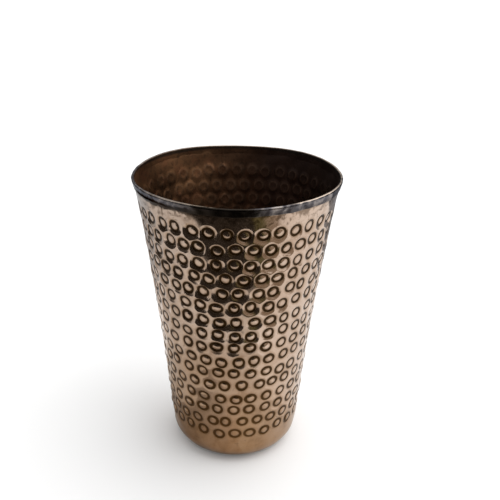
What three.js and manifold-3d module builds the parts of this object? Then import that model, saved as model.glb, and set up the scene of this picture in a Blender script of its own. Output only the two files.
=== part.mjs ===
// A hammered tumbler for lassi or water, built up from copper-alloy sheet.
//
// One tapered sleeve makes the wall. Its two upright edges meet in a brazed butt seam, its lower edge is
// turned in through a rounded heel to a narrow flange, and that flange is what the tumbler stands on. The
// base disc is let in from above, lies on the flange and is brazed round its edge. A strip folded to a U is
// crimped over the raw edge at the mouth, where the sheet flares a little to take it.
//
// Millimetres. +Z is up, and the origin is on the standing surface, under the middle of the base.

import * as THREE from "three";
import { mergeVertices } from "three/addons/utils/BufferGeometryUtils.js";
import Module from "manifold-3d";

const wasm = await Module();
wasm.setup();

// Driving dimensions
const HEIGHT = 125;
const MOUTH_RADIUS = 42.5; // outside of the binding
const SHEET = 0.5; // thickness of the sleeve
const STANDING_RADIUS = 18.5; // where the flat flange turns up into the heel
const FLANGE_RADIUS = 13.5; // inner edge of the flange
const HEEL_RADIUS = 10; // outer radius of the bend at the heel
const HEEL_LEAN = THREE.MathUtils.degToRad(4.8); // the wall's lean from upright, just above the heel
const COLLAR_HEIGHT = 118.5; // where the flare to the mouth begins
const COLLAR_RADIUS = 40.75;

const BINDING_SHEET = 0.3;
const BINDING_DEPTH = 3.4; // from the top of the lip to the edge of each leg

const SEAM_AZIMUTH = THREE.MathUtils.degToRad(99); // from +X towards +Y
const SEAM_WIDTH = 1.2; // between the sleeve's upright edges

const DISC_RADIUS = 17.8;
const DISC_SHEET = 0.8;
const DISC_RISE = 1; // how far the middle of the base is dished upwards
const FILLET_SWEEP = THREE.MathUtils.degToRad(14); // how far the base's fillet climbs the heel

const JOINT_GAP = 0.05; // clearance between pieces that lie face to face
const SEAM_GAP = 0.1; // clearance on each side of the seam's filler

// Fineness of the round shapes
const ROUND_SEGMENTS = 64;
const WALL_STEPS = 5;
const FLARE_STEPS = 3;
const HEEL_STEPS = 8;
const BEND_STEPS = 4;
const DISH_STEPS = 4;
const FILLET_STEPS = 3;

// Worked out from the driving dimensions
const BINDING_HALF_WIDTH = SHEET / 2 + JOINT_GAP + BINDING_SHEET;
const SHEET_TOP = HEIGHT - BINDING_HALF_WIDTH;
const LIP_RADIUS = MOUTH_RADIUS - BINDING_SHEET - JOINT_GAP; // outside of the sleeve under the binding
const HEEL_TOP = HEEL_RADIUS * (1 - Math.sin(HEEL_LEAN));
const HEEL_TOP_RADIUS = STANDING_RADIUS + HEEL_RADIUS * Math.cos(HEEL_LEAN);
const DISC_UNDERSIDE = SHEET + JOINT_GAP;

const evenSteps = (from, to, steps) =>
  Array.from({ length: steps + 1 }, (_, i) => from + ((to - from) * i) / steps);

// Points of an arc in the half-plane of radius and height.
function arc(centreRadius, centreHeight, radius, from, to, steps) {
  return evenSteps(from, to, steps).map(
    (angle) =>
      new THREE.Vector2(
        centreRadius + radius * Math.cos(angle),
        centreHeight + radius * Math.sin(angle),
      ),
  );
}

// Outside radius of the sleeve above the heel: a wall that starts with the heel's lean and hollows slightly
// on its way to the collar, and then the flare.
function sleeveRadius(height) {
  const wallHeight = COLLAR_HEIGHT - HEEL_TOP;
  const straightRadius = HEEL_TOP_RADIUS + wallHeight * Math.tan(HEEL_LEAN);
  const hollow = (COLLAR_RADIUS - straightRadius) / wallHeight ** 2;
  const wall = (h) => HEEL_TOP_RADIUS + (h - HEEL_TOP) * Math.tan(HEEL_LEAN) + hollow * (h - HEEL_TOP) ** 2;
  const flareShare = Math.max(0, (height - COLLAR_HEIGHT) / (SHEET_TOP - COLLAR_HEIGHT));
  return wall(height) + (LIP_RADIUS - wall(SHEET_TOP)) * flareShare ** 2;
}

// A line that follows the sleeve between the given heights, this far inside its outer face.
function alongSleeve(heights, inset) {
  return heights.map((height) => new THREE.Vector2(sleeveRadius(height) - inset, height));
}

// The sleeve's section from the flange's edge to the lip, this far inside its outer face.
function sleeveLine(inset) {
  const heights = [
    ...evenSteps(HEEL_TOP, COLLAR_HEIGHT, WALL_STEPS).slice(1),
    ...evenSteps(COLLAR_HEIGHT, SHEET_TOP, FLARE_STEPS).slice(1),
  ];
  return [
    new THREE.Vector2(FLANGE_RADIUS, inset),
    ...arc(STANDING_RADIUS, HEEL_RADIUS, HEEL_RADIUS - inset, -Math.PI / 2, -HEEL_LEAN, HEEL_STEPS),
    ...alongSleeve(heights, inset),
  ];
}

// A closed section, drawn anticlockwise with radius to the right and height up, turned about +Z.
function turned(section) {
  const geometry = new THREE.LatheGeometry([...section, section[0]], ROUND_SEGMENTS);
  geometry.rotateX(Math.PI / 2);
  return geometry;
}

function solidOf(geometry) {
  geometry.deleteAttribute("normal");
  geometry.deleteAttribute("uv");
  const merged = mergeVertices(geometry);
  return new wasm.Manifold(
    new wasm.Mesh({
      numProp: 3,
      vertProperties: merged.attributes.position.array,
      triVerts: new Uint32Array(merged.index.array),
    }),
  );
}

function geometryOf(solid) {
  const { vertProperties, triVerts } = solid.getMesh();
  const geometry = new THREE.BufferGeometry();
  geometry.setAttribute("position", new THREE.BufferAttribute(vertProperties, 3));
  geometry.setIndex(new THREE.BufferAttribute(triVerts, 1));
  geometry.computeVertexNormals();
  return geometry;
}

// An upright slab that runs from the axis out past the wall, along the seam.
function seamSlab(width) {
  const reach = 2 * MOUTH_RADIUS;
  const slab = new THREE.BoxGeometry(reach, width, 2 * HEIGHT);
  slab.translate(reach / 2, 0, 0);
  slab.rotateZ(SEAM_AZIMUTH);
  return solidOf(slab);
}

function sleeveBlank() {
  return solidOf(turned([...sleeveLine(0), ...sleeveLine(SHEET).reverse()]));
}

function wallSleeve() {
  return geometryOf(sleeveBlank().subtract(seamSlab(SEAM_WIDTH)));
}

function sideSeamBraze() {
  return geometryOf(sleeveBlank().intersect(seamSlab(SEAM_WIDTH - 2 * SEAM_GAP)));
}

function rimBinding() {
  const heights = evenSteps(HEIGHT - BINDING_DEPTH, SHEET_TOP, FLARE_STEPS);
  const bendCentre = LIP_RADIUS - SHEET / 2;
  const bend = (radius) => arc(bendCentre, SHEET_TOP, radius, 0, Math.PI, BEND_STEPS).slice(1, -1);
  const outerFace = [
    ...alongSleeve(heights, -JOINT_GAP - BINDING_SHEET),
    ...bend(BINDING_HALF_WIDTH),
    ...alongSleeve(heights, SHEET + JOINT_GAP + BINDING_SHEET).reverse(),
  ];
  const innerFace = [
    ...alongSleeve(heights, -JOINT_GAP),
    ...bend(SHEET / 2 + JOINT_GAP),
    ...alongSleeve(heights, SHEET + JOINT_GAP).reverse(),
  ];
  return turned([...outerFace, ...innerFace.reverse()]);
}

// Flat where it lies on the flange, and dished inside it.
function baseDisc() {
  const line = (lift) =>
    evenSteps(0, FLANGE_RADIUS, DISH_STEPS).map(
      (radius) =>
        new THREE.Vector2(
          radius,
          DISC_UNDERSIDE + lift + (DISC_RISE / 2) * (1 + Math.cos((Math.PI * radius) / FLANGE_RADIUS)),
        ),
    );
  return turned([
    ...line(0),
    new THREE.Vector2(DISC_RADIUS, DISC_UNDERSIDE),
    new THREE.Vector2(DISC_RADIUS, DISC_UNDERSIDE + DISC_SHEET),
    ...line(DISC_SHEET).reverse(),
  ]);
}

// Fills the corner between the disc's edge and the inside of the heel, with a hollow top.
function baseSeamBraze() {
  const innerRadius = DISC_RADIUS + JOINT_GAP;
  const heelInside = HEEL_RADIUS - SHEET - JOINT_GAP;
  const underside = [
    new THREE.Vector2(innerRadius, DISC_UNDERSIDE),
    ...arc(
      STANDING_RADIUS,
      HEEL_RADIUS,
      heelInside,
      -Math.PI / 2,
      -Math.PI / 2 + FILLET_SWEEP,
      FILLET_STEPS,
    ),
  ];
  const shore = underside.at(-1);
  const crest = new THREE.Vector2(innerRadius, DISC_UNDERSIDE + DISC_SHEET);
  const valley = new THREE.Vector2((innerRadius + shore.x) / 2, shore.y);
  const top = new THREE.QuadraticBezierCurve(shore, valley, crest).getPoints(FILLET_STEPS);
  return turned([...underside, ...top.slice(1)]);
}

function metal(color, roughness) {
  return new THREE.MeshStandardMaterial({ color, roughness, metalness: 1 });
}

const hammeredSheet = metal("#b58a63", 0.34);
const darkBinding = metal("#5c5048", 0.4);
const baseSheet = metal("#9c6f48", 0.45);
const brazingBrass = metal("#c9a565", 0.42);

const tumbler = new THREE.Group();
function addPiece(name, geometry, material) {
  const mesh = new THREE.Mesh(geometry, material);
  mesh.name = name;
  tumbler.add(mesh);
}

addPiece("wall_sleeve", wallSleeve(), hammeredSheet);
addPiece("rim_binding", rimBinding(), darkBinding);
addPiece("base_disc", baseDisc(), baseSheet);
addPiece("side_seam_braze", sideSeamBraze(), brazingBrass);
addPiece("base_seam_braze", baseSeamBraze(), brazingBrass);

export default tumbler;
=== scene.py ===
"""The looks of a hammered lassi tumbler: worn coppery brass with punched rings, a tarnished binding round
the mouth, an oxidised inside, and the small stage that it is lit and seen on.

Metres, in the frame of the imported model."""

import math
from collections import namedtuple

import bpy
import numpy as np
from mathutils import Matrix, Vector


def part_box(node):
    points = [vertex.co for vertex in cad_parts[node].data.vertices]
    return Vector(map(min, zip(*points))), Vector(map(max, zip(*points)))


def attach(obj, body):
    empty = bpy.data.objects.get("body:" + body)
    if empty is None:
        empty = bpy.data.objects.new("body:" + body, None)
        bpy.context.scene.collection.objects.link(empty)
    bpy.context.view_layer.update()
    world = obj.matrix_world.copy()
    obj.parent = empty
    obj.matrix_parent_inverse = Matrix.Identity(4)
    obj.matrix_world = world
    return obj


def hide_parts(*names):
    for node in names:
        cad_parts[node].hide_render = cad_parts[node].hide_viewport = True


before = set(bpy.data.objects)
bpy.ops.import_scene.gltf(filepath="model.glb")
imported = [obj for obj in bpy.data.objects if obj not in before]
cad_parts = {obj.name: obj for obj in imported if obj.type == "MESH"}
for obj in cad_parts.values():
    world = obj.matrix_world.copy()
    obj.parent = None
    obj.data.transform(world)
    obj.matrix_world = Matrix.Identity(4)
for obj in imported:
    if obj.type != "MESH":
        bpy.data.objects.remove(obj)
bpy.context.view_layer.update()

MM = 0.001

# The tumbler's own sizes, from the frame where its boxes give them.
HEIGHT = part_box("rim_binding")[1].z
MOUTH_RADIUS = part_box("rim_binding")[1].x
BINDING_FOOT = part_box("rim_binding")[0].z
LIP_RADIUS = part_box("wall_sleeve")[1].x
SHEET_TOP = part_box("wall_sleeve")[1].z
DISC_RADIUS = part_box("base_disc")[1].x
DISC_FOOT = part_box("base_disc")[0].z
FILLET_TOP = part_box("base_seam_braze")[1].z
FILLET_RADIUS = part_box("base_seam_braze")[1].x

# The rest of its sizes, as in the CAD, except that the flare to the mouth starts lower down.
SHEET = 0.5 * MM
STANDING_RADIUS = 18.5 * MM
FLANGE_RADIUS = 13.5 * MM
HEEL_RADIUS = 10 * MM
HEEL_LEAN = math.radians(4.8)
COLLAR_HEIGHT = 118.5 * MM
COLLAR_RADIUS = 40.75 * MM
FLARE_FOOT = 112 * MM
JOINT_GAP = 0.05 * MM
DISC_SHEET = 0.8 * MM
DISC_RISE = 1 * MM
SEAM_AZIMUTH = math.radians(99)
SEAM_WIDTH = 1.2 * MM

# The punched rings. Most rows start at the front, and the staggered ones, counted from 0 at the top, half a
# spacing further round.
TOP_ROW = 113.9 * MM
BOTTOM_ROW = 17.3 * MM
ROWS = 16
STAGGERED_ROWS = (0, 3, 11, 14)
RING_SPACING = 6.75 * MM
RING_RADIUS = 2.05 * MM
GROOVE_HALF_WIDTH = 0.38 * MM
GROOVE_DEPTH = 0.13 * MM
DISH_RADIUS = 3.55 * MM
DISH_DEPTH = 0.46 * MM
DISH_DROP = 0.5 * MM
DOME_RADIUS = 1.75 * MM
DOME_HEIGHT = 0.34 * MM
MARK_REACH = 4.8 * MM

# How unevenly they are struck. The spreads are standard deviations. A row's start is in ring spacings, the
# tilt is in shares of the groove's depth, and the others are lengths or shares of the mean.
ROW_START = -0.03
ROW_START_SPREAD = 0.08
ROW_WANDER = 0.35 * MM
SIDEWAYS_SPREAD = 0.32 * MM
UPWARD_SPREAD = 0.3 * MM
RADIUS_SPREAD = 0.03
DEPTH_SPREAD = 0.13
DISH_SPREAD = 0.12
TILT_SPREAD = 0.25
OVAL_SPREAD = 0.04
SLIP_SPREAD = 0.3 * MM
RISE_SPREAD = 0.22 * MM

# The upper rows are struck harder: share of DISH_DEPTH below the first height and above the second
LIGHT_BLOWS = (50 * MM, 0.33)
HEAVY_BLOWS = (80 * MM, 1.2)

# For each face of the sheet: what share of the full dish, groove and dome it shows, and how wide its grooves
# are, as a share of the outside's
FACE_SHARES = {"outside": (1, 1, 1, 1), "inside": (0.45, 0.85, 0.2, 1.1)}

# The wall's slow unevenness: how many waves are laid over one another, and each one's depth
DENT_WAVES = 26
DENT_DEPTH = 0.022 * MM

# Where the sheet is drawn in under the binding's edge
CRIMP_FOOT = 118.3 * MM
CRIMP_DEPTH = 0.1 * MM
CRIMP_HEAD = 2.6 * MM

# The middle of the painted dark reflection on the binding's front
FRONT_REFLECTION_SPOT = (-5 * MM, -42 * MM, 123 * MM)

# Fineness of the section's line and of the meshes
HEEL_STEPS = 200
WALL_STEPS = 1200
COLUMNS = 720
OUTER_ROWS = 420
INNER_ROWS = 180
SEAM_ROWS = 260
SEAM_STEPS = 9
LEG_STEPS = 14
BEND_STEPS = 17
DISC_STEPS = 40
DISC_COLUMNS = 144
FILLET_STEPS = 8
FILLET_COLUMNS = 288
SHARP_ANGLE = math.radians(40)

# Places of the colour sockets in a Mix node
MIX_A = 6
MIX_B = 7
MIX_RESULT = 2

TURN = 2 * math.pi
FRONT = -TURN / 4
HEEL_TOP = HEEL_RADIUS * (1 - math.sin(HEEL_LEAN))
HEEL_TOP_RADIUS = STANDING_RADIUS + HEEL_RADIUS * math.cos(HEEL_LEAN)

# Carries azimuths to lengths on the unrolled wall: about its mean radius
UNROLLED_RADIUS = 35 * MM

# One blow: where its ring stands, the ring's radius and depth, its dish's depth, how far and which way the
# punch leant, how oval the ring is, and how far sideways and upwards the dish's middle lies from the ring's
Mark = namedtuple("Mark", "azimuth along radius depth dish tilt tilt_to oval slip rise")


# ---------------------------------------------------------------- section of the sleeve


def sleeve_radius(height):
    """Outside radius of the sleeve above its heel."""
    wall_height = COLLAR_HEIGHT - HEEL_TOP
    hollow = (COLLAR_RADIUS - HEEL_TOP_RADIUS - wall_height * math.tan(HEEL_LEAN)) / wall_height**2

    def wall(h):
        return HEEL_TOP_RADIUS + (h - HEEL_TOP) * math.tan(HEEL_LEAN) + hollow * (h - HEEL_TOP) ** 2

    flare = np.clip((height - FLARE_FOOT) / (SHEET_TOP - FLARE_FOOT), 0, None)
    return wall(height) + (LIP_RADIUS - wall(SHEET_TOP)) * flare**2


class Section:
    """The outer face's line from the flange's edge to the lip, read by distance along it."""

    def __init__(self):
        sweep = np.linspace(-math.pi / 2, -HEEL_LEAN, HEEL_STEPS)
        heights = np.linspace(HEEL_TOP, SHEET_TOP, WALL_STEPS)[1:]
        radius = [[FLANGE_RADIUS], STANDING_RADIUS + HEEL_RADIUS * np.cos(sweep), sleeve_radius(heights)]
        height = [[0.0], HEEL_RADIUS * (1 + np.sin(sweep)), heights]
        self.radii = np.concatenate(radius)
        self.heights = np.concatenate(height)
        steps = np.hypot(np.diff(self.radii), np.diff(self.heights))
        self.distances = np.concatenate([[0], np.cumsum(steps)])
        self.length = self.distances[-1]

    def at(self, along):
        """Radius and height there, and the outward normal's two parts."""
        radius = np.interp(along, self.distances, self.radii)
        height = np.interp(along, self.distances, self.heights)
        out = np.interp(along, self.distances, np.gradient(self.heights, self.distances))
        up = -np.interp(along, self.distances, np.gradient(self.radii, self.distances))
        size = np.hypot(out, up)
        return radius, height, out / size, up / size

    def along_at(self, height):
        """Distance along the line of a height above the heel."""
        return float(np.interp(height, self.heights, self.distances))


SECTION = Section()


# ---------------------------------------------------------------- hand work: rings, dents and warp


def punch_marks():
    """The ring marks, row by row: evenly meant, unevenly struck."""
    rng = np.random.default_rng(7)
    marks = []
    for row, height in enumerate(np.linspace(TOP_ROW, BOTTOM_ROW, ROWS)):
        stagger = 0.5 if row in STAGGERED_ROWS else 0
        shift = stagger + rng.normal(ROW_START, ROW_START_SPREAD)
        along = SECTION.along_at(height)
        radius = float(SECTION.at(along)[0])
        count = round(TURN * radius / RING_SPACING)
        force = np.interp(height, *zip(LIGHT_BLOWS, HEAVY_BLOWS))
        drift = rng.uniform(0, TURN)
        for i in range(count):
            azimuth = FRONT + TURN * (i + shift) / count + rng.normal(0, SIDEWAYS_SPREAD) / radius
            wander = ROW_WANDER * math.sin(2 * azimuth + drift)
            marks.append(
                Mark(
                    azimuth=azimuth % TURN,
                    along=along + wander + rng.normal(0, UPWARD_SPREAD),
                    radius=RING_RADIUS * rng.normal(1, RADIUS_SPREAD),
                    depth=rng.normal(1, DEPTH_SPREAD),
                    dish=force * rng.normal(1, DISH_SPREAD),
                    tilt=abs(rng.normal(0, TILT_SPREAD)),
                    tilt_to=rng.uniform(0, TURN),
                    oval=rng.normal(0, OVAL_SPREAD),
                    slip=rng.normal(0, SLIP_SPREAD),
                    rise=rng.normal(-DISH_DROP, RISE_SPREAD),
                )
            )
    return marks


MARKS = punch_marks()


def struck(azimuth, along, radius, face):
    """Relief of all marks on a grid with one row per value of along, and how near each point is to a ring.

    Each blow presses in a round dish, deepest a little below its ring, that meets its neighbours in ridges.
    The ring's groove runs round a low dome. The inside face shows the same marks softened."""
    dishes = np.zeros_like(azimuth)
    rings = np.zeros_like(azimuth)
    near = np.zeros_like(azimuth)
    dish_share, ring_share, dome_share, blur = FACE_SHARES[face]
    for mark in MARKS:
        first, last = np.searchsorted(along, [mark.along - MARK_REACH, mark.along + MARK_REACH])
        rows = slice(first, last)
        across = ((azimuth[rows] - mark.azimuth + math.pi) % TURN - math.pi) * radius[rows, None]
        up = (along[rows] - mark.along)[:, None]
        dish = 1 - ((across - mark.slip) ** 2 + (up - mark.rise) ** 2) / DISH_RADIUS**2
        dishes[rows] = np.maximum(dishes[rows], mark.dish * dish)
        distance = np.hypot(across * (1 + mark.oval), up * (1 - mark.oval))
        leaning = (across * math.cos(mark.tilt_to) + up * math.sin(mark.tilt_to)) / RING_RADIUS
        gap = np.abs(distance - mark.radius)
        pressed = np.clip(1 + mark.tilt * leaning, 0.3, 1.7)
        ring = np.exp(-((gap / (blur * GROOVE_HALF_WIDTH)) ** 2)) * pressed
        dome = np.clip(1 - (distance / DOME_RADIUS) ** 2, 0, 1) * (1 + 0.5 * mark.tilt * leaning)
        rings[rows] += mark.depth * (dome_share * DOME_HEIGHT * dome - ring_share * GROOVE_DEPTH * ring)
        reach = RING_SPACING / 4 * np.clip(0.7 + 0.3 * mark.depth * (1 + mark.tilt * leaning), 0.6, 1.3)
        near[rows] = np.maximum(near[rows], 1 - gap / reach)
    return rings - dish_share * DISH_DEPTH * dishes, near


def dents(azimuth, along):
    """Slow unevenness left by the hammer over the whole wall."""
    rng = np.random.default_rng(21)
    total = np.zeros_like(azimuth)
    for _ in range(DENT_WAVES):
        turns = rng.integers(2, 15)
        waves = rng.uniform(15, 95)
        total += rng.normal(0, 1) * np.sin(turns * azimuth + rng.uniform(0, TURN) + TURN * waves * along)
    return DENT_DEPTH * total


def warp(azimuth, height):
    """Outward and upward shift: the mouth is a little off centre, out of round and out of level."""
    share = np.clip(height / HEIGHT, 0, 1) ** 2
    off_centre = 0.24 * MM * np.cos(azimuth)
    out_of_round = 0.10 * MM * np.sin(2 * azimuth + 0.6)
    tilt = 0.10 * MM + 0.22 * MM * np.sin(azimuth)
    wave = 0.12 * MM * np.sin(3 * azimuth + 0.94) - 0.25 * MM * np.cos(4 * azimuth)
    return (off_centre + out_of_round) * share, (tilt + wave) * share


def crimp(height):
    """How far the sheet is drawn in just under the binding's edge and let out again beneath the binding."""
    below = np.clip((height - CRIMP_FOOT) / (BINDING_FOOT - CRIMP_FOOT), 0, 1) ** 2
    above = np.clip(1 - (height - BINDING_FOOT) / CRIMP_HEAD, 0, 1)
    return -CRIMP_DEPTH * np.minimum(below, above)


def wall_relief(azimuth, along, radius, height, face):
    """Rings, dents and crimp together, with the dents fading out towards the flange and the lip."""
    foot_run = 20 * MM
    lip_run = 3 * MM
    relief, near = struck(azimuth, along, radius, face)
    fade_in = np.clip(along / foot_run, 0, 1)[:, None]
    fade_out = np.clip((SHEET_TOP - height) / lip_run, 0, 1)[:, None]
    relief += dents(azimuth, along[:, None]) * fade_in * fade_out
    if face == "outside":
        relief += crimp(height)[:, None]
    return relief, near


def turned_point(azimuth, radius, height):
    """The point at this azimuth of the warped tumbler."""
    outward, upward = warp(azimuth, height)
    bent = radius + outward
    return np.stack([bent * np.cos(azimuth), bent * np.sin(azimuth), height + upward], axis=-1)


def raised_points(azimuth, radius, height, depth, out, up):
    """Points on the section's line, moved by depth along the line's outward normal."""
    moved_radius = radius[:, None] + depth * out[:, None]
    moved_height = height[:, None] + depth * up[:, None]
    return turned_point(azimuth, moved_radius, moved_height)


# ---------------------------------------------------------------- mesh making


def grid_faces(rows, columns, wrap_rows, wrap_columns):
    """Quads of a grid of points numbered row by row."""
    row = np.arange(rows if wrap_rows else rows - 1)
    column = np.arange(columns if wrap_columns else columns - 1)
    i, j = np.meshgrid(row, column, indexing="ij")
    i2 = (i + 1) % rows
    j2 = (j + 1) % columns
    quads = np.stack([i * columns + j, i * columns + j2, i2 * columns + j2, i2 * columns + j], axis=-1)
    return quads.reshape(-1, 4)


def new_piece(name, points, quads, polygons=()):
    """A mesh object from a point array, an array of quads and a few larger polygons."""
    corners = [len(quads[0])] * len(quads) + [len(p) for p in polygons]
    loops = np.concatenate([quads.ravel(), *[np.asarray(p) for p in polygons]])
    starts = np.concatenate([[0], np.cumsum(corners)[:-1]])
    mesh = bpy.data.meshes.new(name)
    mesh.vertices.add(len(points))
    mesh.vertices.foreach_set("co", points.astype(np.float32).ravel())
    mesh.loops.add(len(loops))
    mesh.loops.foreach_set("vertex_index", loops.astype(np.int32))
    mesh.polygons.add(len(corners))
    mesh.polygons.foreach_set("loop_start", starts.astype(np.int32))
    mesh.polygons.foreach_set("use_smooth", np.ones(len(corners), bool))
    mesh.update(calc_edges=True)
    mesh.validate()
    mesh.set_sharp_from_angle(angle=SHARP_ANGLE)
    piece = bpy.data.objects.new(name, mesh)
    bpy.context.scene.collection.objects.link(piece)
    return piece


def add_attribute(piece, name, kind, values):
    layer = piece.data.attributes.new(name, kind, "POINT")
    field = "vector" if kind == "FLOAT_VECTOR" else "value"
    layer.data.foreach_set(field, np.ascontiguousarray(values, np.float32).ravel())


def wall_attributes(piece, azimuth, along, near):
    """What the wall's materials read: a place on the unrolled sheet, and the nearness to a ring."""
    place = np.stack([azimuth * UNROLLED_RADIUS, along, np.zeros_like(along)], axis=-1)
    add_attribute(piece, "sheet_place", "FLOAT_VECTOR", place.reshape(-1, 3))
    add_attribute(piece, "ring_near", "FLOAT", near)


# ---------------------------------------------------------------- pieces


def sleeve_face(face, rows):
    """Points and attributes of one face of the sleeve, from the flange's edge up to the lip."""
    along = np.linspace(0, SECTION.length, rows)
    radius, height, out, up = SECTION.at(along)
    edge = (SEAM_WIDTH / 2 / radius)[:, None]
    share = np.linspace(0, 1, COLUMNS)
    azimuth = SEAM_AZIMUTH + edge + (TURN - 2 * edge) * share
    relief, near = wall_relief(azimuth, along, radius, height, face)
    depth = relief - (SHEET if face == "inside" else 0)
    points = raised_points(azimuth, radius, height, depth, out, up)
    return points, azimuth, np.broadcast_to(along[:, None], azimuth.shape), near


def make_sleeve():
    """The hammered wall, open at its upright seam."""
    outer = sleeve_face("outside", OUTER_ROWS)
    inner = sleeve_face("inside", INNER_ROWS)
    layers = [np.concatenate([o, i[::-1]]) for o, i in zip(outer, inner)]
    points, azimuth, along, near = layers
    rows = OUTER_ROWS + INNER_ROWS
    quads = grid_faces(rows, COLUMNS, wrap_rows=True, wrap_columns=False)
    first_edge = np.arange(rows) * COLUMNS
    last_edge = first_edge[::-1] + COLUMNS - 1
    sleeve = new_piece("hammered_sleeve", points.reshape(-1, 3), quads, [first_edge, last_edge])
    wall_attributes(sleeve, azimuth, along, near)
    materials = np.zeros(len(sleeve.data.polygons), np.int32)
    materials[(OUTER_ROWS - 1) * (COLUMNS - 1) : len(quads)] = 1
    sleeve.data.polygons.foreach_set("material_index", materials)
    return sleeve


def make_side_seam():
    """Brazing metal in the sleeve's seam, filed nearly flush, with a slightly ragged edge."""
    end_gap = 0.2 * MM
    overlap = 0.25 * MM
    steps = np.linspace(-1, 1, SEAM_STEPS)
    along = np.linspace(end_gap, SECTION.length - end_gap, SEAM_ROWS)
    radius, height, out, up = SECTION.at(along)
    ragged = 0.12 * MM * np.sin(along / MM * 1.7) + 0.08 * MM * np.sin(along / MM * 4.1 + 1)
    half_width = SEAM_WIDTH / 2 + overlap + ragged
    azimuth = SEAM_AZIMUTH + (half_width / radius)[:, None] * steps
    crown = 0.05 * MM * (1 - steps**2) - 0.03 * MM * np.abs(steps) ** 6

    def face(name):
        relief, near = wall_relief(azimuth, along, radius, height, name)
        depth = relief + crown if name == "outside" else relief - SHEET - crown
        points = raised_points(azimuth, radius, height, depth, out, up)
        return points, azimuth, np.broadcast_to(along[:, None], azimuth.shape), near

    both = zip(face("outside"), face("inside"))
    points, azimuths, distances, near = [np.concatenate([o, i[:, ::-1]], axis=1) for o, i in both]
    columns = 2 * SEAM_STEPS
    quads = grid_faces(SEAM_ROWS, columns, wrap_rows=False, wrap_columns=True)
    foot = np.arange(columns)[::-1]
    head = np.arange(columns) + (SEAM_ROWS - 1) * columns
    seam = new_piece("side_seam_filler", points.reshape(-1, 3), quads, [foot, head])
    wall_attributes(seam, azimuths, distances, near)
    inner_side = np.tile(np.arange(columns) >= SEAM_STEPS - 1, SEAM_ROWS - 1)
    materials = np.concatenate([inner_side, [False, False]]).astype(np.int32)
    seam.data.polygons.foreach_set("material_index", materials)
    return seam


def turned_piece(name, outline, columns, shape, hollow=True):
    """An outline of (radius, height) turned about the axis, with its points then moved by shape.

    A hollow piece's outline is closed. Any other starts and ends near the axis and is capped there."""
    azimuth = np.broadcast_to(np.arange(columns) * TURN / columns, (len(outline), columns))
    radius = np.broadcast_to(outline[:, :1], azimuth.shape)
    height = np.broadcast_to(outline[:, 1:], azimuth.shape)
    points = turned_point(azimuth, *shape(azimuth, radius, height)).reshape(-1, 3)
    quads = grid_faces(len(outline), columns, wrap_rows=hollow, wrap_columns=True)
    if hollow:
        return new_piece(name, points, quads)
    bottom_cap = np.arange(columns)[::-1]
    top_cap = np.arange(columns) + (len(outline) - 1) * columns
    return new_piece(name, points, quads, [bottom_cap, top_cap])


def binding_line(offset, foot, burnished=(1, 1)):
    """A line this far off both faces of the sheet: up outside from foot, over the lip and down inside.

    burnished gives the shares of the offset that are left at its two feet, outside and inside."""
    heights = np.linspace(foot, SHEET_TOP, LEG_STEPS)
    share = (heights - foot) / (SHEET_TOP - foot)
    outside, inside = (offset * (left + (1 - left) * share) for left in burnished)
    outer = np.stack([sleeve_radius(heights) + outside + crimp(heights), heights], axis=-1)
    inner = np.stack([sleeve_radius(heights) - SHEET - inside, heights], axis=-1)
    reach = SHEET / 2 + offset
    sweep = np.linspace(0, math.pi, BEND_STEPS)[1:-1]
    middle = LIP_RADIUS - SHEET / 2
    bend = np.stack([middle + reach * np.cos(sweep), SHEET_TOP + reach * np.sin(sweep)], axis=-1)
    return np.concatenate([outer, bend, inner[::-1]])


def make_binding():
    """A strip folded over the lip by hand, with a wavy lower edge and faint dents."""
    leg = MOUTH_RADIUS - LIP_RADIUS
    chamfer = 0.06 * MM
    burnished = (0.85, 0.22)
    skin = binding_line(leg, BINDING_FOOT + chamfer, burnished)
    edge = binding_line(leg - chamfer, BINDING_FOOT, burnished)
    lining = binding_line(JOINT_GAP, BINDING_FOOT)
    outline = np.concatenate([edge[:1], skin, edge[-1:], lining[::-1]])

    def hand_folded(azimuth, radius, height):
        low = np.clip((SHEET_TOP - height) / (SHEET_TOP - BINDING_FOOT), 0, 1)
        wave = 0.13 * MM * np.sin(5 * azimuth + 1) + 0.09 * MM * np.sin(13 * azimuth)
        ripple = 0.05 * MM * np.sin(37 * azimuth) + 0.03 * MM * np.sin(61 * azimuth + 2)
        dent = 0.04 * MM * np.sin(23 * azimuth + 2) + 0.03 * MM * np.sin(41 * azimuth + 400 * height)
        return radius + dent, height + (wave + ripple) * low

    binding = turned_piece("mouth_binding", outline, COLUMNS, hand_folded)
    row = np.arange(len(outline))
    lip_rows = 3
    past_the_lip = len(skin) / 2 + lip_rows
    inner_leg = (row > past_the_lip) & (row <= len(skin))
    binding.data.polygons.foreach_set("material_index", np.repeat(inner_leg, COLUMNS).astype(np.int32))
    return binding


def make_base_disc():
    """Let-in base: flat on the flange, dished inside it, with light planishing marks."""
    cap_radius = 0.4 * MM
    blow_count = 70
    blow_radius = 2.2 * MM
    blow_depth = 0.07 * MM
    radii = np.linspace(cap_radius, DISC_RADIUS, DISC_STEPS)
    dish = np.where(radii < FLANGE_RADIUS, 1 + np.cos(math.pi * radii / FLANGE_RADIUS), 0) * DISC_RISE / 2
    lower = np.stack([radii, DISC_FOOT + dish], axis=-1)
    upper = np.stack([radii, DISC_FOOT + DISC_SHEET + dish], axis=-1)
    outline = np.concatenate([lower, upper[::-1]])
    blows = np.random.default_rng(11).uniform(-DISC_RADIUS, DISC_RADIUS, (blow_count, 2))

    def planished(azimuth, radius, height):
        x = radius * np.cos(azimuth)
        y = radius * np.sin(azimuth)
        sink = sum(np.exp(-((x - bx) ** 2 + (y - by) ** 2) / blow_radius**2) for bx, by in blows)
        return radius, height - blow_depth * sink * np.clip(1 - radius / FLANGE_RADIUS, 0, 1)

    return turned_piece("let_in_base", outline, DISC_COLUMNS, planished, hollow=False)


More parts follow.
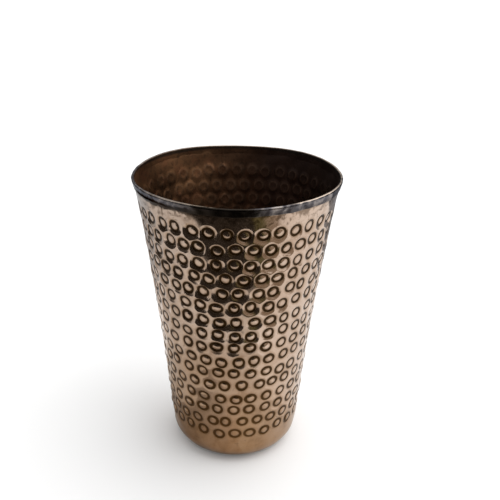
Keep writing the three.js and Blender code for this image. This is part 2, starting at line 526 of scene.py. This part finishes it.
def make_base_fillet():
    """Brazing metal round the base's edge, a little uneven."""
    inner = DISC_RADIUS - 0.15 * MM
    foot = DISC_FOOT + 0.02 * MM
    sweep = np.linspace(0, 1, FILLET_STEPS)
    shore = np.array([FILLET_RADIUS, DISC_FOOT + 0.3 * MM])
    crest = np.array([inner, FILLET_TOP + 0.08 * MM])
    valley = np.array([(inner + FILLET_RADIUS) / 2, DISC_FOOT + 0.38 * MM])
    top = [(1 - t) ** 2 * shore + 2 * t * (1 - t) * valley + t**2 * crest for t in sweep]
    outline = np.array([[inner, foot], [STANDING_RADIUS, foot], *top])

    def flowed(azimuth, radius, height):
        reach = np.clip((radius - DISC_RADIUS) / (FILLET_RADIUS - DISC_RADIUS), 0, 1)
        run = 0.15 * MM * np.sin(7 * azimuth) + 0.08 * MM * np.sin(17 * azimuth + 2)
        return radius + run * reach, height + 0.18 * run * reach

    return turned_piece("base_braze_fillet", outline, FILLET_COLUMNS, flowed)


# ---------------------------------------------------------------- materials


class Metal:
    """A Principled metal, and short calls that add nodes to its tree."""

    def __init__(self, name):
        self.material = bpy.data.materials.new(name)
        self.material.use_nodes = True
        self.tree = self.material.node_tree
        self.shader = self.tree.nodes["Principled BSDF"]
        self.shader.inputs["Metallic"].default_value = 1.0

    def node(self, kind, inputs, **settings):
        """A new node. Each input is a value, or the socket of another node."""
        node = self.tree.nodes.new(kind)
        for key, value in settings.items():
            setattr(node, key, value)
        for key, value in inputs.items():
            if isinstance(value, bpy.types.NodeSocket):
                self.tree.links.new(value, node.inputs[key])
            else:
                node.inputs[key].default_value = value
        return node

    def place(self):
        """The place in the tumbler's frame."""
        return self.node("ShaderNodeTexCoord", {}).outputs["Object"]

    def x_and_height(self, place):
        split = self.node("ShaderNodeSeparateXYZ", {"Vector": place})
        return split.outputs["X"], split.outputs["Z"]

    def attribute(self, name, output="Fac"):
        return self.node("ShaderNodeAttribute", {}, attribute_name=name).outputs[output]

    def stretched(self, place, scale):
        return self.node("ShaderNodeMapping", {"Vector": place, "Scale": scale}).outputs["Vector"]

    def noise(self, place, scale, detail=4, roughness=0.55, distortion=0.0):
        sockets = {"Vector": place, "Scale": scale, "Detail": detail, "Roughness": roughness}
        return self.node("ShaderNodeTexNoise", {**sockets, "Distortion": distortion}).outputs["Fac"]

    def span(self, value, low, high, to_low=0.0, to_high=1.0):
        """value carried from low..high to to_low..to_high, and held at the ends."""
        sockets = {"Value": value, "From Min": low, "From Max": high, "To Min": to_low, "To Max": to_high}
        return self.node("ShaderNodeMapRange", sockets).outputs["Result"]

    def maths(self, operation, a, b):
        return self.node("ShaderNodeMath", {0: a, 1: b}, operation=operation).outputs["Value"]

    def mix(self, share, a, b):
        """Colour a, with this share of colour b laid over it."""
        node = self.node("ShaderNodeMix", {"Factor": share}, data_type="RGBA")
        for socket, value in ((node.inputs[MIX_A], a), (node.inputs[MIX_B], b)):
            if isinstance(value, bpy.types.NodeSocket):
                self.tree.links.new(value, socket)
            else:
                socket.default_value = (*value, 1.0)
        return node.outputs[MIX_RESULT]

    def bump(self, height, distance, strength):
        sockets = {"Height": height, "Distance": distance, "Strength": strength}
        return self.node("ShaderNodeBump", sockets).outputs["Normal"]

    def finish(self, color, roughness, normal):
        self.tree.links.new(color, self.shader.inputs["Base Color"])
        self.tree.links.new(roughness, self.shader.inputs["Roughness"])
        self.tree.links.new(normal, self.shader.inputs["Normal"])
        return self.material


def worn_outside():
    """Coppery brass, pinkish where it is handled, browner to the heel (patina and painted bounce light),
    with dirt and painted shade under the binding and low on the left, and dark oxide in the grooves.
    """
    pinkish = (0.575, 0.445, 0.355)
    coppery = (0.475, 0.345, 0.26)
    heel_brown = (0.42, 0.25, 0.125)
    blotch_brown = (0.25, 0.15, 0.085)
    speck_brown = (0.24, 0.15, 0.09)
    tarnish_brown = (0.15, 0.10, 0.065)
    strip_dirt_and_shadow = (0.03, 0.022, 0.016)
    smudge_and_shade_brown = (0.23, 0.11, 0.04)
    thin_oxide = (0.22, 0.125, 0.055)
    dark_oxide = (0.042, 0.021, 0.006)
    heel_oxide = (0.125, 0.062, 0.02)
    m = Metal("worn_coppery_brass")
    place = m.place()
    x, height = m.x_and_height(place)
    sheet = m.attribute("sheet_place", "Vector")
    clouds = m.noise(place, 38, detail=5, roughness=0.6)
    blotches = m.noise(place, 150, detail=5, roughness=0.65, distortion=0.4)
    specks = m.noise(place, 900, detail=3)
    streaks = m.noise(m.stretched(sheet, (700, 60, 1)), 1, detail=2)
    color = m.mix(m.span(clouds, 0.38, 0.66), pinkish, coppery)
    # Browner towards the heel: patina together with painted bounce light from the floor, weaker to the right
    # as painted light.
    low = m.span(height, 4 * MM, 66 * MM, 1, 0)
    low = m.maths("MULTIPLY", low, m.span(clouds, 0.3, 0.6, 0.75, 1.0))
    low = m.maths("MULTIPLY", low, m.span(x, 4 * MM, 24 * MM, 1, 0.45))
    color = m.mix(low, color, heel_brown)
    color = m.mix(m.span(blotches, 0.54, 0.74, 0, 0.6), color, blotch_brown)
    color = m.mix(m.span(specks, 0.6, 0.75, 0, 0.3), color, speck_brown)
    mottle = m.noise(place, 420, detail=4, roughness=0.65, distortion=0.5)
    near_lip = m.span(height, 114 * MM, BINDING_FOOT, -0.16, 0.06)
    tarnish = m.span(m.maths("ADD", near_lip, mottle), 0.46, 0.60, 0, 0.8)
    color = m.mix(tarnish, color, tarnish_brown)
    # A dark line just under the binding's edge, on the left only: dirt and painted shadow.
    wavy = m.maths("ADD", height, m.span(mottle, 0.3, 0.7, -0.5 * MM, 0.5 * MM))
    under_strip = m.span(wavy, BINDING_FOOT - 1.1 * MM, BINDING_FOOT - 0.5 * MM)
    under_strip = m.maths("MULTIPLY", under_strip, m.span(x, -25 * MM, 0, 0.95, 0))
    color = m.mix(under_strip, color, strip_dirt_and_shadow)
    # Brown smudges low on the heel, heavier to the left: dirt and painted shade.
    smudges_and_shade = m.span(height, 22 * MM, 8 * MM)
    smudges_and_shade = m.maths("MULTIPLY", smudges_and_shade, m.span(blotches, 0.36, 0.66, 0, 0.45))
    smudges_and_shade = m.maths("MULTIPLY", smudges_and_shade, m.span(x, 0, 20 * MM, 1, 0.3))
    color = m.mix(smudges_and_shade, color, smudge_and_shade_brown)
    ragged = m.maths("ADD", m.attribute("ring_near"), m.span(blotches, 0.3, 0.7, -0.05, 0.09))
    ragged = m.maths("ADD", ragged, m.span(low, 0, 1, 0, 0.07))
    color = m.mix(m.span(ragged, 0.15, 0.62, 0, 0.45), color, thin_oxide)
    stain = m.span(ragged, 0.61, 0.78)
    color = m.mix(stain, color, m.mix(low, dark_oxide, heel_oxide))
    scratched = m.span(streaks, 0.3, 0.7, -0.015, 0.03)
    roughness = m.maths("ADD", m.span(clouds, 0.3, 0.7, 0.11, 0.17), scratched)
    roughness = m.maths("ADD", roughness, m.span(stain, 0, 1, 0, 0.3))
    return m.finish(color, roughness, m.bump(streaks, 0.005 * MM, 0.2))


def oxidised_inside():
    """Brown oxide, lit orange on the left and darker on the right as painted light and shade, rubbed and
    with painted highlights on the raised rings, with painted shadow just under the lip.
    """
    left_brown = (0.19, 0.095, 0.045)
    left_orange = (0.34, 0.165, 0.072)
    right_shade_dark = (0.032, 0.021, 0.018)
    right_brown = (0.062, 0.038, 0.029)
    reddish_oxide = (0.26, 0.10, 0.05)
    dark_specks = (0.04, 0.026, 0.018)
    rubbed_and_highlight_brown = (0.20, 0.14, 0.095)
    under_lip_shadow = (0.03, 0.024, 0.02)
    m = Metal("oxidised_brass_inside")
    place = m.place()
    x, height = m.x_and_height(place)
    clouds = m.noise(place, 45, detail=6, roughness=0.65, distortion=0.3)
    specks = m.noise(place, 620, detail=4, roughness=0.6)
    # Painted light and shade: orange-brown on the lit left, near black as painted shade on the right.
    lit_orange_side = m.mix(m.span(clouds, 0.35, 0.7), left_brown, left_orange)
    shaded_dark_side = m.mix(m.span(clouds, 0.35, 0.7), right_shade_dark, right_brown)
    color = m.mix(m.span(x, -42 * MM, 15 * MM), lit_orange_side, shaded_dark_side)
    reddish = m.span(m.noise(place, 170, detail=3), 0.5, 0.62, 0, 0.35)
    reddish = m.maths("MULTIPLY", reddish, m.span(x, 0, -20 * MM))
    color = m.mix(reddish, color, reddish_oxide)
    color = m.mix(m.span(specks, 0.5, 0.72, 0, 0.6), color, dark_specks)
    # Lighter on the raised rings: rubbed wear and a painted highlight.
    color = m.mix(m.span(m.attribute("ring_near"), 0.72, 1.0, 0, 0.3), color, rubbed_and_highlight_brown)
    # Painted shadow: darker over the top of the inside, just under the lip.
    at_lip = m.span(height, HEIGHT - 1.6 * MM, HEIGHT - 0.7 * MM, 0, 0.85)
    color = m.mix(at_lip, color, under_lip_shadow)
    roughness = m.span(clouds, 0.3, 0.7, 0.38, 0.52)
    return m.finish(color, roughness, m.bump(specks, 0.03 * MM, 0.4))


def tarnished_binding():
    """Mottled slate and brown, with a painted dark reflection at the front, dirt and painted shade along the
    lower edge, its top rubbed bright.
    """
    slate = (0.11, 0.11, 0.13)
    brown = (0.13, 0.11, 0.10)
    right_brown = (0.05, 0.043, 0.04)
    pale_patches = (0.25, 0.22, 0.205)
    dark_patches = (0.035, 0.031, 0.033)
    edge_dirt_and_shade_dark = (0.028, 0.023, 0.020)
    front_reflection_dark = (0.02, 0.015, 0.011)
    bright_rub = (0.52, 0.42, 0.33)
    clean_tint = (0.75, 0.75, 0.78)
    dirt_and_shade_tint = (0.3, 0.28, 0.26)
    m = Metal("tarnished_binding")
    place = m.place()
    x, height = m.x_and_height(place)
    clouds = m.noise(place, 55, detail=4, roughness=0.6)
    patches = m.noise(place, 230, detail=5, roughness=0.6, distortion=0.6)
    specks = m.noise(place, 900, detail=3, roughness=0.6)
    color = m.mix(m.span(clouds, 0.4, 0.62), slate, brown)
    color = m.mix(m.span(x, 0, 30 * MM, 0, 0.4), color, right_brown)
    color = m.mix(m.span(patches, 0.51, 0.61), color, pale_patches)
    color = m.mix(m.span(patches, 0.48, 0.40), color, dark_patches)
    # Darker along the lower edge, most on the left: dirt and painted shade.
    wavy = m.maths("ADD", height, m.span(patches, 0.3, 0.7, -0.4 * MM, 0.4 * MM))
    low_edge = m.span(wavy, BINDING_FOOT + 1.2 * MM, BINDING_FOOT + 1.9 * MM, 1, 0)
    edge_dirt_and_shade = m.maths("MULTIPLY", low_edge, m.span(x, -25 * MM, 8 * MM, 0.95, 0.3))
    color = m.mix(edge_dirt_and_shade, color, edge_dirt_and_shade_dark)
    # Painted dark reflection: near black round a spot on the binding's front.
    from_front_reflection = m.node("ShaderNodeVectorMath", {0: place, 1: FRONT_REFLECTION_SPOT}, operation="DISTANCE")
    front_reflection = m.span(from_front_reflection.outputs["Value"], 9 * MM, 19 * MM, 0.95, 0)
    color = m.mix(front_reflection, color, front_reflection_dark)
    worn_top = m.maths("ADD", height, m.span(patches, 0.3, 0.7, -0.08 * MM, 0.08 * MM))
    rubbed = m.span(worn_top, HEIGHT - 0.18 * MM, HEIGHT - 0.06 * MM, 0, 0.9)
    rubbed = m.maths("MULTIPLY", rubbed, m.span(x, -34 * MM, -8 * MM, 0.3, 1))
    color = m.mix(rubbed, color, bright_rub)
    roughness = m.maths("ADD", m.span(patches, 0.3, 0.7, 0.15, 0.24), m.span(rubbed, 0, 1, 0, 0.14))
    # The specular tint dims over the lower edge's dirt and painted shade and over the front's painted dark
    # reflection.
    edge_tint = m.mix(m.maths("MAXIMUM", edge_dirt_and_shade, front_reflection), clean_tint, dirt_and_shade_tint)
    m.tree.links.new(edge_tint, m.shader.inputs["Specular Tint"])
    return m.finish(color, roughness, m.bump(specks, 0.012 * MM, 0.3))


def dull_base():
    """Dull, speckled copper-brown sheet that no hand reaches."""
    brown = (0.24, 0.12, 0.055)
    copper = (0.36, 0.21, 0.11)
    dark_specks = (0.10, 0.06, 0.035)
    m = Metal("dull_base_sheet")
    place = m.place()
    clouds = m.noise(place, 90, detail=5, roughness=0.6)
    specks = m.noise(place, 800, detail=4)
    color = m.mix(m.span(clouds, 0.35, 0.65), brown, copper)
    color = m.mix(m.span(specks, 0.52, 0.7, 0, 0.5), color, dark_specks)
    roughness = m.span(clouds, 0.3, 0.7, 0.38, 0.55)
    return m.finish(color, roughness, m.bump(specks, 0.03 * MM, 0.4))


def brazing_metal():
    """A dull, pitted, yellower filler, stained in the grooves that cross it."""
    yellow = (0.56, 0.40, 0.21)
    dull_yellow = (0.44, 0.28, 0.14)
    pit_brown = (0.10, 0.066, 0.034)
    groove_oxide = (0.05, 0.03, 0.012)
    m = Metal("brazing_metal")
    place = m.place()
    clouds = m.noise(place, 160, detail=4)
    pits = m.noise(place, 1100, detail=3)
    color = m.mix(m.span(clouds, 0.35, 0.65), yellow, dull_yellow)
    color = m.mix(m.span(pits, 0.58, 0.7, 0, 0.7), color, pit_brown)
    color = m.mix(m.span(m.attribute("ring_near"), 0.66, 0.80), color, groove_oxide)
    roughness = m.span(clouds, 0.3, 0.7, 0.36, 0.52)
    return m.finish(color, roughness, m.bump(pits, 0.04 * MM, 0.5))


def stage_paint(name, color):
    """Plain matt paint."""
    material = bpy.data.materials.new(name)
    material.use_nodes = True
    shader = material.node_tree.nodes["Principled BSDF"]
    shader.inputs["Base Color"].default_value = (*color, 1.0)
    shader.inputs["Roughness"].default_value = 0.7
    shader.inputs["Specular IOR Level"].default_value = 0.1
    return material


# ---------------------------------------------------------------- stage


def card(name, corners, material):
    """A flat four-cornered stage piece."""
    piece = new_piece(name, np.array(corners, float), np.array([(0, 1, 2, 3)]))
    piece.data.materials.append(material)
    return piece


def make_floor():
    """A wide pale floor that the tumbler stands on."""
    reach = 6.0
    corners = [(-reach, -reach, 0), (reach, -reach, 0), (reach, reach, 0), (-reach, reach, 0)]
    card("pale_floor", corners, stage_paint("pale_floor_paint", (0.86, 0.86, 0.86)))


def reflector(name, corners, color):
    """A flat card that only reflections in the metal see."""
    sheet = card(name, corners, stage_paint(name, color))
    sheet.visible_camera = False
    sheet.visible_diffuse = False
    sheet.visible_shadow = False
    sheet.visible_transmission = False


def floor_reflector(name, x_range, y_range, color, level=0.4 * MM):
    """A card that lies just over the floor."""
    left, right = x_range
    front, back = y_range
    corners = [(left, front, level), (right, front, level), (right, back, level), (left, back, level)]
    reflector(name, corners, color)


def wall_reflector(name, start, end, color):
    """An upright card that stands on the floor between two points."""
    top = 1.1
    reflector(name, [(*start, 0), (*end, 0), (*end, top), (*start, top)], color)


def make_reflectors():
    """What the tumbler mirrors besides the pale floor: dark past the table's front edge, grey all round."""
    table_edge = -0.118
    dark = (0.02, 0.016, 0.012)
    floor_reflector("dark_front", (-0.19, 0.055), (-2, table_edge), dark)
    floor_reflector("dark_front_left", (-3, -0.19), (-2, -0.165), dark)
    floor_reflector("dark_left", (-3, -0.26), (-0.165, 0.10), dark)
    floor_reflector("olive_front", (0.055, 0.10), (-2, table_edge), (0.09, 0.085, 0.035))
    floor_reflector("brown_front", (0.10, 0.32), (-2, table_edge), (0.27, 0.22, 0.17))
    floor_reflector("shaded_left", (-0.26, -0.14), (table_edge, 0.10), (0.60, 0.60, 0.60))
    floor_reflector("shaded_near", (-0.14, 0.045), (table_edge, 0.05), (0.68, 0.66, 0.63))
    floor_reflector("pale_behind", (-4, 0), (0.10, 4), (0.42, 0.44, 0.46))
    floor_reflector("grey_behind", (0, 4), (0.14, 4), (0.19, 0.195, 0.21))

    # The floor's shade beside the heel, in strips that grow paler to the right
    strips = 6
    edges = np.linspace(-0.05, 0.004, strips + 1)
    shades = np.linspace(0.36, 0.62, strips)
    for left, right, shade in zip(edges, edges[1:], shades):
        brown_shade = (shade, 0.91 * shade, 0.82 * shade)
        floor_reflector("shaded_foot", (left, right), (-0.067, 0.03), brown_shade, level=0.8 * MM)

    grey = (0.14, 0.145, 0.155)
    wall_reflector("room_front", (-3, -2), (3, -2), (0.03, 0.026, 0.022))
    wall_reflector("room_left", (-3, -2), (-3, 3), grey)
    wall_reflector("room_right", (3, -2), (3, 3), grey)
    wall_reflector("room_back", (-3, 3), (3, 3), grey)


def make_world():
    """Even, soft, pale light from all round."""
    world = bpy.data.worlds.new("soft_room")
    world.use_nodes = True
    world.node_tree.nodes["Background"].inputs["Color"].default_value = (0.8, 0.8, 0.8, 1)
    bpy.context.scene.world = world


def make_light(name, azimuth, elevation, softness, strength):
    """A broad distant light, with its direction and its width in degrees."""
    data = bpy.data.lights.new(name, "SUN")
    data.angle = math.radians(softness)
    data.energy = strength
    light = bpy.data.objects.new(name, data)
    bpy.context.scene.collection.objects.link(light)
    azimuth = math.radians(azimuth)
    towards = Vector((math.cos(azimuth), math.sin(azimuth), math.tan(math.radians(elevation))))
    light.rotation_euler = towards.to_track_quat("Z", "Y").to_euler()


def make_camera():
    """Close, and a little over the lip."""
    place = Vector((0, -262 * MM, 206.1 * MM))
    pitch_down = math.radians(23.76)
    turn_right = math.radians(1.28)
    roll = math.radians(1.02)
    data = bpy.data.cameras.new("camera")
    data.lens = 48.46
    data.sensor_width = 36
    data.clip_start = 0.01
    camera = bpy.data.objects.new("camera", data)
    bpy.context.scene.collection.objects.link(camera)
    camera.matrix_world = (
        Matrix.Translation(place)
        @ Matrix.Rotation(-turn_right, 4, "Z")
        @ Matrix.Rotation(math.pi / 2 - pitch_down, 4, "X")
        @ Matrix.Rotation(roll, 4, "Z")
    )
    bpy.context.scene.camera = camera


# ---------------------------------------------------------------- putting it together


def add(piece, node, slot, *materials):
    """Gives a piece its materials, hangs it under the root body and hides the CAD part that it replaces."""
    for material in materials:
        piece.data.materials.append(material)
    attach(piece, "root")
    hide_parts(node)


make_camera()
make_floor()
make_reflectors()
make_world()
make_light("key", azimuth=25, elevation=58, softness=80, strength=1.7)
make_light("fill", azimuth=-25, elevation=42, softness=60, strength=0.6)

braze = brazing_metal()
oxidised = oxidised_inside()
add(make_sleeve(), "wall_sleeve", "hammered_sheet", worn_outside(), oxidised)
add(make_side_seam(), "side_seam_braze", "braze", braze, oxidised)
add(make_binding(), "rim_binding", "binding_sheet", tarnished_binding(), oxidised)
add(make_base_disc(), "base_disc", "base_sheet", dull_base())
add(make_base_fillet(), "base_seam_braze", "braze", braze)

bpy.context.scene.view_settings.view_transform = "Standard"
